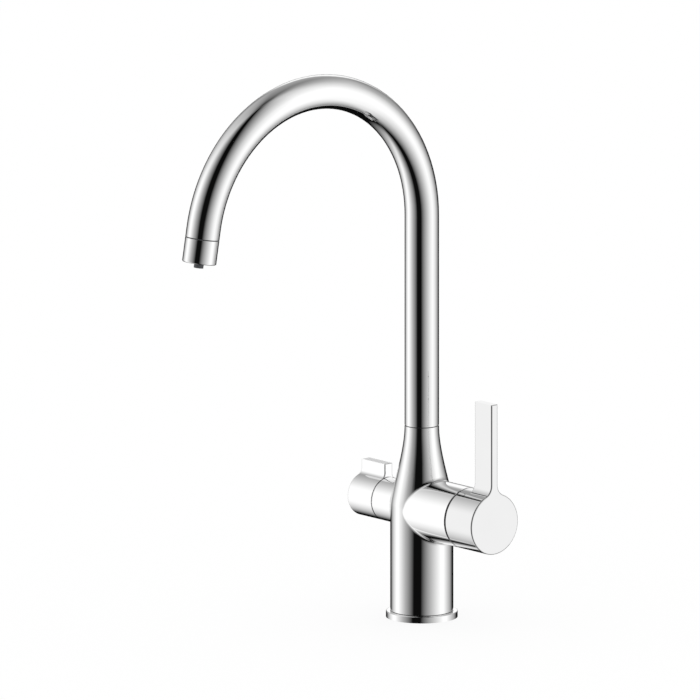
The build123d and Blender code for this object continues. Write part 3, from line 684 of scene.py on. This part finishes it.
@dataclass(frozen=True)
class Thread:
    """Crests of a thread that is tapped into the foot, as they are seen from below.

    Attributes:
        name: Start of the names of its pieces.
        radius: Radius of the hole, at the crests.
        pitch: Height of one turn.
        depth: Depth of the hole.
        centres: Middle of each such hole in the foot.
        crest: How far a crest stands out of the wall, drawn coarse enough to show.
        steps: Straight runs in one turn.
    """

    name: str
    radius: float
    pitch: float
    depth: float
    centres: tuple[tuple[float, float], ...]
    crest: float = 0.3 * MM
    steps: int = 24

    def wind(self) -> bpy.types.Object:
        """Wind a three-cornered ridge up the Z axis.

        Returns:
            The ridge, from one pitch above the mouth to the end of the hole.
        """
        corner = self.pitch / 2
        middle = Vector((self.radius - self.crest + corner, 0.0, self.pitch))
        inwards = Matrix(((0, -1, 0), (0, 0, -1), (1, 0, 0))).to_4x4()
        ridge = start_section(self.name, corner, Matrix.Translation(middle) @ inwards)
        winding = ridge.modifiers.new("winding", "SCREW")
        winding.steps = winding.render_steps = self.steps
        winding.iterations = int(self.depth / self.pitch) - 1
        winding.screw_offset = self.pitch
        bpy.ops.object.modifier_apply(modifier=winding.name)
        close_mesh()
        return ridge

    def build(self, finish: Finish) -> list[bpy.types.Object]:
        """Wind the first thread and copy it to the other holes.

        Args:
            finish: Finish of the crests.

        Returns:
            One piece for each hole.
        """
        first = self.wind()
        pieces = [first]
        for number in range(1, len(self.centres)):
            twin = first.copy()
            twin.data = first.data.copy()
            twin.name = twin.data.name = f"{self.name}_{number + 1}"
            bpy.context.scene.collection.objects.link(twin)
            pieces.append(twin)
        for piece, (x, y) in zip(pieces, self.centres):
            bpy.ops.object.select_all(action="DESELECT")
            piece.select_set(True)
            bpy.context.view_layer.objects.active = piece
            piece.location = (x, y, 0.0)
            bpy.ops.object.transform_apply(location=True, rotation=True, scale=True)
            give_finish(piece, finish)
        return pieces


@dataclass(frozen=True)
class SeamShadeRing:
    """Thin dark ring in the seam between two round pieces, a painted shade line for the
    shadow in the gap.

    Attributes:
        name: Name of the piece.
        centre: Middle of the ring.
        along: Axis of the two pieces.
        radius: Outer radius of the ring, just inside that of the pieces.
        width: Width of its rim.
        steps: Straight runs round it.
    """

    name: str
    centre: tuple[float, float, float]
    along: tuple[float, float, float]
    radius: float
    width: float
    steps: int = 96

    def build(self, finish: Finish) -> bpy.types.Object:
        """Spin the three-cornered section of the ring round the axis.

        Args:
            finish: Finish of the ring, dark so that it paints the shade of the gap.

        Returns:
            The painted shade ring.
        """
        along = Vector(self.along)
        corner = self.width / sqrt(3)
        outwards = Vector((1.0, 0.0, 0.0))
        plane = Matrix((along, -outwards, outwards.cross(along))).transposed().to_4x4()
        middle = Vector(self.centre) + outwards * (self.radius - corner / 2)
        shade_ring = start_section(self.name, corner, Matrix.Translation(middle) @ plane)
        bpy.ops.object.mode_set(mode="EDIT")
        bpy.ops.mesh.select_all(action="SELECT")
        bpy.ops.mesh.spin(
            steps=self.steps, angle=FULL_TURN, center=self.centre, axis=self.along
        )
        bpy.ops.object.mode_set(mode="OBJECT")
        close_mesh()
        # The dark finish makes this ring a painted shade line in the seam.
        give_finish(shade_ring, finish)
        return shade_ring


# Sub-assemblies of the tap

OUTLET_LEAN = radians(9.8)      # of the end of the spout, from straight down


@dataclass
class SubAssembly:
    """Pieces of the tap that move as one.

    Attributes:
        body: Moving group that the pieces ride on.
        finishes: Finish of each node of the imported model.
    """

    body: Body
    finishes: dict[str, Finish]

    def build(self) -> list[bpy.types.Object]:
        """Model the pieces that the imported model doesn't hold, and return them."""
        return []

    def dress(self) -> None:
        """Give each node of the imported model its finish."""
        for name, finish in self.finishes.items():
            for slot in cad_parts[name].material_slots:
                slot.material = finish.material()
            log.info("%s: %s", name, finish.name)

    def assemble(self) -> None:
        """Dress the nodes, build the new pieces and let them ride on the body."""
        self.dress()
        for piece in self.build():
            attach(piece, self.body.value)
            log.info("%s: new piece on %s", piece.name, self.body.value)


@dataclass
class TapBody(SubAssembly):
    """Cast column with its base ring and the bearing under the spout.

    Attributes:
        stud_thread: M8 thread for the fixing stud.
        inlet_thread: M10 x 1 threads of the filtered, hot and cold inlets.
        foot_seam_shadow: Dark rubber ring in the seam where the column stands on the base
            ring, a painted shadow of the gap there.
    """

    body: Body = Body.TAP
    finishes: dict[str, Finish] = field(
        default_factory=lambda: {
            "tap_body": BODY_CHROME,
            "base_ring": CHROME,
            "base_seal": RUBBER,
            "riser_o_ring": RUBBER,
            # Near black as painted shade of the groove that the ring sits in.
            "spout_bearing_ring": BLACK_ACETAL_GROOVE_SHADE,
        }
    )
    stud_thread: Thread = Thread(
        "stud_thread",
        radius=3.32 * MM,
        pitch=1.25 * MM,
        depth=20 * MM,
        centres=((0.0, 0.0),),
    )
    inlet_thread: Thread = Thread(
        "inlet_thread",
        radius=4.46 * MM,
        pitch=1.0 * MM,
        depth=10 * MM,
        centres=((-11 * MM, 0.0), (5.5 * MM, 9.526 * MM), (5.5 * MM, -9.526 * MM)),
    )
    # Dark ring in the seam at the foot: a painted shadow of the gap between the column and
    # the base ring.
    foot_seam_shadow: SeamShadeRing = SeamShadeRing(
        "foot_seam_shadow_ring",
        centre=(0.0, 0.0, 4.61 * MM),
        along=(0.0, 0.0, 1.0),
        radius=21.57 * MM,
        width=0.14 * MM,
    )

    def build(self) -> list[bpy.types.Object]:
        """Model the threads in the foot and the dark ring that paints the shadow in its
        seam.

        Returns:
            The four threads and the painted shadow ring.
        """
        stud_threads = self.stud_thread.build(TURNED_BRASS)
        inlet_threads = self.inlet_thread.build(TURNED_BRASS)
        # The rubber finish turns the foot ring into a painted shadow line.
        return [*stud_threads, *inlet_threads, self.foot_seam_shadow.build(RUBBER)]


@dataclass
class MixerCartridge(SubAssembly):
    """Ceramic disc cartridge in the mixer barrel and the ring behind its lever, painted
    near black as the shade of its groove.
    """

    body: Body = Body.TAP
    finishes: dict[str, Finish] = field(
        default_factory=lambda: {
            "mixer_cartridge_housing": WHITE_ACETAL,
            "mixer_port_seals": RUBBER,
            "mixer_disc_fixed": CERAMIC,
            "mixer_stem_o_ring": RUBBER,
            "mixer_retaining_nut": TURNED_BRASS,
            # Near black as painted shade of the groove behind the lever.
            "mixer_trim_ring": BLACK_ACETAL_GROOVE_SHADE,
        }
    )


@dataclass
class MixerHandle(SubAssembly):
    """Lever of the mixer with the stem and disc that it turns."""

    body: Body = Body.MIXER_HANDLE
    finishes: dict[str, Finish] = field(
        default_factory=lambda: {
            # Greyed copy of the chrome: painted shade on the lever's faces.
            "mixer_lever": GREYED_LEVER_CHROME,
            "mixer_stem": TURNED_BRASS,
            "mixer_disc_moving": CERAMIC,
            "mixer_grub_screw": SCREW_STEEL,
        }
    )


@dataclass
class FilterValve(SubAssembly):
    """Quarter turn headwork in the filter barrel and the ring behind its handle."""

    body: Body = Body.TAP
    finishes: dict[str, Finish] = field(
        default_factory=lambda: {
            "filter_valve_housing": TURNED_BRASS,
            "filter_seat_washer": RUBBER,
            "filter_disc_fixed": CERAMIC,
            "filter_spindle_o_ring": RUBBER,
            "filter_trim_ring": CHROME,
        }
    )


@dataclass
class FilterHandle(SubAssembly):
    """Handle of the filtered water with its spindle and disc."""

    body: Body = Body.FILTER_HANDLE
    finishes: dict[str, Finish] = field(
        default_factory=lambda: {
            "filter_lever": TAB_CHROME,
            "filter_spindle": TURNED_BRASS,
            "filter_disc_moving": CERAMIC,
            "filter_grub_screw": SCREW_STEEL,
        }
    )


@dataclass
class SwanNeckSpout(SubAssembly):
    """Bent tube with the filtered water tube inside and the outlet at its end.

    Attributes:
        seam: Dark ring between the tube and the outlet collar, a painted shade line in the
            gap.
    """

    body: Body = Body.SPOUT
    finishes: dict[str, Finish] = field(
        default_factory=lambda: {
            "spout_tube": CHROME,
            "spout_insert": NIPPLE_BRASS,
            "spout_o_rings": RUBBER,
            "spout_retaining_ring": WHITE_ACETAL,
            "filter_water_tube": WHITE_ACETAL,
            "outlet_collar": CHROME,
            "aerator_seal": RUBBER,
            "aerator_insert": GREY_PLASTIC,
            "filter_nozzle": GREY_PLASTIC,
        }
    )
    # Dark ring in the seam of the outlet collar: a painted shade line in the gap.
    seam: SeamShadeRing = SeamShadeRing(
        "collar_seam_shadow_ring",
        centre=(0.0, -200.674 * MM, 296.104 * MM),
        along=(0.0, -sin(OUTLET_LEAN), -cos(OUTLET_LEAN)),
        radius=11.95 * MM,
        width=0.5 * MM,
    )

    def build(self) -> list[bpy.types.Object]:
        """Model the dark ring that paints the shade in the seam of the outlet collar, and
        return it.
        """
        return [self.seam.build(SEAM_SHADE_PLASTIC)]


# Studio


@dataclass(frozen=True)
class Fade:
    """Soft edge of a light.

    Attributes:
        width: Width of the edge, in degrees round the tap.
        levels: Light at even steps along it, the last one at its far end.
    """

    width: float
    levels: tuple[float, ...]

    def steps(self) -> list[tuple[float, float]]:
        """Return how far each step is from the light, in degrees, with its level."""
        stride = self.width / len(self.levels)
        return [(stride * count, level) for count, level in enumerate(self.levels, 1)]


@dataclass(frozen=True)
class SoftBox:
    """Tall light beside the tap.

    Angles go round the tap in degrees, from 0 towards the camera to positive on its right.

    Attributes:
        azimuth: Middle of the light.
        half_width: From the middle to the edge of its white part.
    """

    azimuth: float
    half_width: float

    def stops(self, front: Fade, rear: Fade) -> list[tuple[float, float]]:
        """Return the angle and level of the light and of its fades.

        Args:
            front: Fade towards the camera.
            rear: Fade away from it.

        Returns:
            Angles in degrees with their levels, from the camera to what is behind the tap.
        """
        side = 1 if self.azimuth > 0 else -1
        near = abs(self.azimuth) - self.half_width
        far = abs(self.azimuth) + self.half_width
        stops = [(near - step, level) for step, level in reversed(front.steps())]
        stops += [(near, 1.0), (far, 1.0)]
        stops += [(far + step, level) for step, level in rear.steps()]
        return [(side * angle, level) for angle, level in stops]


@dataclass(frozen=True)
class Ring:
    """Light all round the tap at one height.

    Attributes:
        left_front: Fade of the left light towards the camera.
        left_rear: Its fade into what is behind the tap.
        right_rear: Fade of the right light into what is behind the tap.
        right_front: Its fade towards the camera.
        behind: Light straight behind the tap.
        edges: Angles where that light ends on the left and on the right.
    """

    left_front: Fade
    left_rear: Fade
    right_rear: Fade
    right_front: Fade
    behind: float
    edges: tuple[float, float] = (-180.0, 180.0)


# Light of the black flags and of the dark floor
BLACK = 0.004
# Fades that several heights share
LEFT_FRONT = Fade(64.5, (0.425, BLACK))
LOW_RIGHT_FRONT = Fade(77.0, (0.49, BLACK))
HIGH_RIGHT_FRONT = Fade(72.5, (0.465, BLACK))


@dataclass
class Studio:
    """White studio with a tall light on either side and a black flag by the camera.

    Attributes:
        azimuth: Where the camera stands round the tap, in degrees.
        elevation: Height of the camera above the horizon, in degrees.
        view_width: Width of what the camera sees.
        aim_right: From the origin to the middle of the view, to the right.
        aim_up: From the origin to the middle of the view, upwards in the picture.
        camera_distance: From the middle of the view to the camera.
        left_light: Light on the left.
        right_light: Light on the right.
        light_power: Light of the white part of the side lights.
        near_floor: Light low down, from the floor close to the tap.
        far_floor: Light from the dark floor further back.
        white_card: Light at the height of the white card that stands behind the tap.
        pale_wall: Light at the height of the pale wall above it.
        floor_edge: Sines of the heights between which the near floor fades to the far one.
        horizon: The same for the far floor and the card.
        card_top: The same for the card and the wall.
        height_levels: Sine of the height and share of the light there.
        floor_size: Side of the floor.
        floor_drop: From the foot of the tap down to the floor.
        floor_glow: Share of the floor's white that no shadow darkens.
    """

    azimuth: float = 49.6
    elevation: float = 11.9
    view_width: float = 0.4874
    aim_right: float = -0.0500
    aim_up: float = 0.1853
    camera_distance: float = 3.0
    left_light: SoftBox = SoftBox(-100.5, 5.5)
    right_light: SoftBox = SoftBox(80.0, 7.0)
    light_power: float = 1.08
    near_floor: Ring = Ring(
        left_front=LEFT_FRONT,
        left_rear=Fade(57.0, (0.53, BLACK)),
        right_rear=Fade(62.0, (0.53, BLACK)),
        right_front=LOW_RIGHT_FRONT,
        behind=BLACK,
    )
    far_floor: Ring = Ring(
        left_front=LEFT_FRONT,
        left_rear=Fade(46.0, (0.57, BLACK)),
        right_rear=Fade(60.0, (0.81, 0.64, 0.49, 0.36, 0.16, BLACK)),
        right_front=LOW_RIGHT_FRONT,
        behind=BLACK,
    )
    white_card: Ring = Ring(
        left_front=LEFT_FRONT,
        left_rear=Fade(60.0, (0.56, 0.23)),
        right_rear=Fade(69.0, (0.44, 0.235)),
        right_front=HIGH_RIGHT_FRONT,
        behind=1.0,
        edges=(-174.0, 168.0),
    )
    pale_wall: Ring = Ring(
        left_front=LEFT_FRONT,
        left_rear=Fade(59.0, (0.68, 0.40)),
        right_rear=Fade(69.0, (0.61, 0.36)),
        right_front=HIGH_RIGHT_FRONT,
        behind=0.42,
    )
    floor_edge: tuple[float, float] = (-0.66, -0.42)
    horizon: tuple[float, float] = (-0.12, 0.24)
    card_top: tuple[float, float] = (0.34, 0.56)
    height_levels: Stops = (
        (-1.0, 0.05),
        (-0.97, 0.42),
        (-0.9, 0.71),
        (-0.7, 0.92),
        (-0.35, 1.0),
        (0.35, 1.0),
        (0.7, 0.77),
        (0.9, 0.57),
        (0.97, 0.38),
        (1.0, 0.1),
    )
    floor_size: float = 6.0
    floor_drop: float = 0.05 * MM
    floor_glow: float = 0.85

    def right(self) -> Vector:
        """Return the direction to the right in the picture."""
        return Vector((cos(radians(self.azimuth)), sin(radians(self.azimuth)), 0.0))

    def back(self) -> Vector:
        """Find where the camera stands.

        Returns:
            The direction from the tap to the camera.
        """
        level = Vector((sin(radians(self.azimuth)), -cos(radians(self.azimuth)), 0.0))
        rise = radians(self.elevation)
        return level * cos(rise) + Vector((0.0, 0.0, sin(rise)))

    def set_camera(self) -> None:
        """Set up a camera without perspective, as the photograph shows the tap."""
        right, back = self.right(), self.back()
        up = back.cross(right)
        aim = right * self.aim_right + up * self.aim_up
        lens = bpy.data.cameras.new("studio_camera")
        lens.type = "ORTHO"
        lens.ortho_scale = self.view_width
        camera = bpy.data.objects.new("studio_camera", lens)
        turn = Matrix((right, up, back)).transposed().to_4x4()
        camera.matrix_world = Matrix.Translation(aim + back * self.camera_distance) @ turn
        bpy.context.scene.collection.objects.link(camera)
        bpy.context.scene.camera = camera

    def lay_floor(self) -> None:
        """Lay a white floor that takes the tap's shadow and is seen only from above.

        The chrome mirrors the studio round the tap in its place.
        """
        bpy.ops.object.select_all(action="DESELECT")
        bpy.ops.mesh.primitive_plane_add(
            size=self.floor_size, location=(0.0, 0.0, -self.floor_drop)
        )
        floor = bpy.context.object
        floor.name = "studio_floor"
        floor.visible_glossy = False
        floor.data.materials.append(self.paper())

    def paper(self) -> bpy.types.Material:
        """Make the white paper of the floor.

        Returns:
            Material that glows to the camera, darkens in shadow and is clear from below.
        """
        paper = bpy.data.materials.new("white background paper")
        paper.use_nodes = True
        tree = paper.node_tree
        tree.nodes.clear()
        sheet = add_node(tree, "ShaderNodeBsdfDiffuse", {"Color": linear("#FFFFFF")})
        glow = add_node(tree, "ShaderNodeEmission", {"Strength": 1.0})
        camera_ray = add_node(tree, "ShaderNodeLightPath").outputs["Is Camera Ray"]
        seen = add_node(
            tree,
            "ShaderNodeMath",
            {0: camera_ray, 1: self.floor_glow},
            operation="MULTIPLY",
        )
        lit = add_node(
            tree,
            "ShaderNodeMixShader",
            {0: seen.outputs[0], 1: sheet.outputs[0], 2: glow.outputs[0]},
        )
        from_below = add_node(
            tree,
            "ShaderNodeMixShader",
            {
                0: add_node(tree, "ShaderNodeNewGeometry").outputs["Backfacing"],
                1: lit.outputs[0],
                2: add_node(tree, "ShaderNodeBsdfTransparent").outputs[0],
            },
        )
        add_node(tree, "ShaderNodeOutputMaterial", {"Surface": from_below.outputs[0]})
        return paper

    def stops(self, ring: Ring) -> Stops:
        """Return the light all round the tap as the stops of a ramp.

        Args:
            ring: Light at one height.

        Returns:
            Share of the turn from straight behind the tap, with the level there.
        """
        stops = [
            (-180.0, ring.behind),
            (ring.edges[0], ring.behind),
            *reversed(self.left_light.stops(ring.left_front, ring.left_rear)),
            *self.right_light.stops(ring.right_front, ring.right_rear),
            (ring.edges[1], ring.behind),
            (180.0, ring.behind),
        ]
        return [(angle / 360 + 0.5, level) for angle, level in stops]

    def light_round(
        self,
        tree: bpy.types.NodeTree,
        ray: bpy.types.NodeSocket,
        height: bpy.types.NodeSocket,
    ) -> bpy.types.NodeSocket:
        """Make the light that changes round the tap, from the floor up to the wall.

        Args:
            tree: Node tree of the world.
            ray: Direction of the ray, turned so that the camera stands at +X.
            height: Sine of its height.

        Returns:
            Colour of the light.
        """
        round_tap = add_node(
            tree, "ShaderNodeTexGradient", {"Vector": ray}, gradient_type="RADIAL"
        ).outputs["Fac"]
        around, *higher = (
            add_node(
                tree, "ShaderNodeValToRGB", {"Fac": round_tap}, self.stops(ring)
            ).outputs["Color"]
            for ring in (self.near_floor, self.far_floor, self.white_card, self.pale_wall)
        )
        edges = (self.floor_edge, self.horizon, self.card_top)
        for above, (low, high) in zip(higher, edges):
            risen = add_node(
                tree,
                "ShaderNodeMapRange",
                {"Value": height, "From Min": low, "From Max": high},
                interpolation_type="SMOOTHSTEP",
            )
            around = add_node(
                tree,
                "ShaderNodeMix",
                {SHARE: risen.outputs[0], COLOUR_A: around, COLOUR_B: above},
                data_type="RGBA",
            ).outputs[MIXED_COLOUR]
        return around

    def falloff(
        self, tree: bpy.types.NodeTree, height: bpy.types.NodeSocket
    ) -> bpy.types.NodeSocket:
        """Make the share of the light that is left towards the floor and the ceiling.

        Args:
            tree: Node tree of the world.
            height: Sine of the height of the ray.

        Returns:
            Grey level of that share.
        """
        share = add_node(tree, "ShaderNodeMapRange", {"Value": height, "From Min": -1.0})
        levels = [((place + 1) / 2, level) for place, level in self.height_levels]
        ramp = add_node(tree, "ShaderNodeValToRGB", {"Fac": share.outputs[0]}, levels)
        return ramp.outputs["Color"]

    def light_world(self) -> None:
        """Light the tap evenly, and give its chrome the side lights and flags to mirror."""
        world = bpy.data.worlds.new("studio")
        bpy.context.scene.world = world
        world.use_nodes = True
        world.cycles.sampling_method = "NONE"
        tree = world.node_tree
        tree.nodes.clear()
        ray = add_node(tree, "ShaderNodeTexCoord").outputs["Generated"]
        turned = add_node(
            tree,
            "ShaderNodeMapping",
            {"Vector": ray, "Rotation": (0.0, 0.0, radians(90.0 - self.azimuth))},
        ).outputs[0]
        height = add_node(tree, "ShaderNodeSeparateXYZ", {"Vector": turned}).outputs["Z"]
        mirrored = add_node(
            tree,
            "ShaderNodeMix",
            {
                SHARE: 1.0,
                COLOUR_A: self.light_round(tree, turned, height),
                COLOUR_B: self.falloff(tree, height),
            },
            data_type="RGBA",
            blend_type="MULTIPLY",
        )
        powered = add_node(
            tree,
            "ShaderNodeVectorMath",
            {0: mirrored.outputs[MIXED_COLOUR], "Scale": self.light_power},
            operation="SCALE",
        )
        seen = add_node(
            tree,
            "ShaderNodeMix",
            {
                SHARE: add_node(tree, "ShaderNodeLightPath").outputs["Is Glossy Ray"],
                COLOUR_A: linear("#FFFFFF"),
                COLOUR_B: powered.outputs[0],
            },
            data_type="RGBA",
        )
        light = add_node(
            tree,
            "ShaderNodeBackground",
            {"Color": seen.outputs[MIXED_COLOUR], "Strength": 1.0},
        )
        add_node(tree, "ShaderNodeOutputWorld", {"Surface": light.outputs[0]})

    def assemble(self) -> None:
        """Set up the camera, the floor, the light and the plain view transform."""
        self.set_camera()
        self.lay_floor()
        self.light_world()
        bpy.context.scene.view_settings.view_transform = "Standard"


def main() -> None:
    """Build the studio and the tap."""
    logging.basicConfig(level=logging.INFO, format="%(message)s")
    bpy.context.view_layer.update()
    Studio().assemble()
    for part in (
        TapBody(),
        MixerCartridge(),
        MixerHandle(),
        FilterValve(),
        FilterHandle(),
        SwanNeckSpout(),
    ):
        part.assemble()


if __name__ == "__main__":
    main()
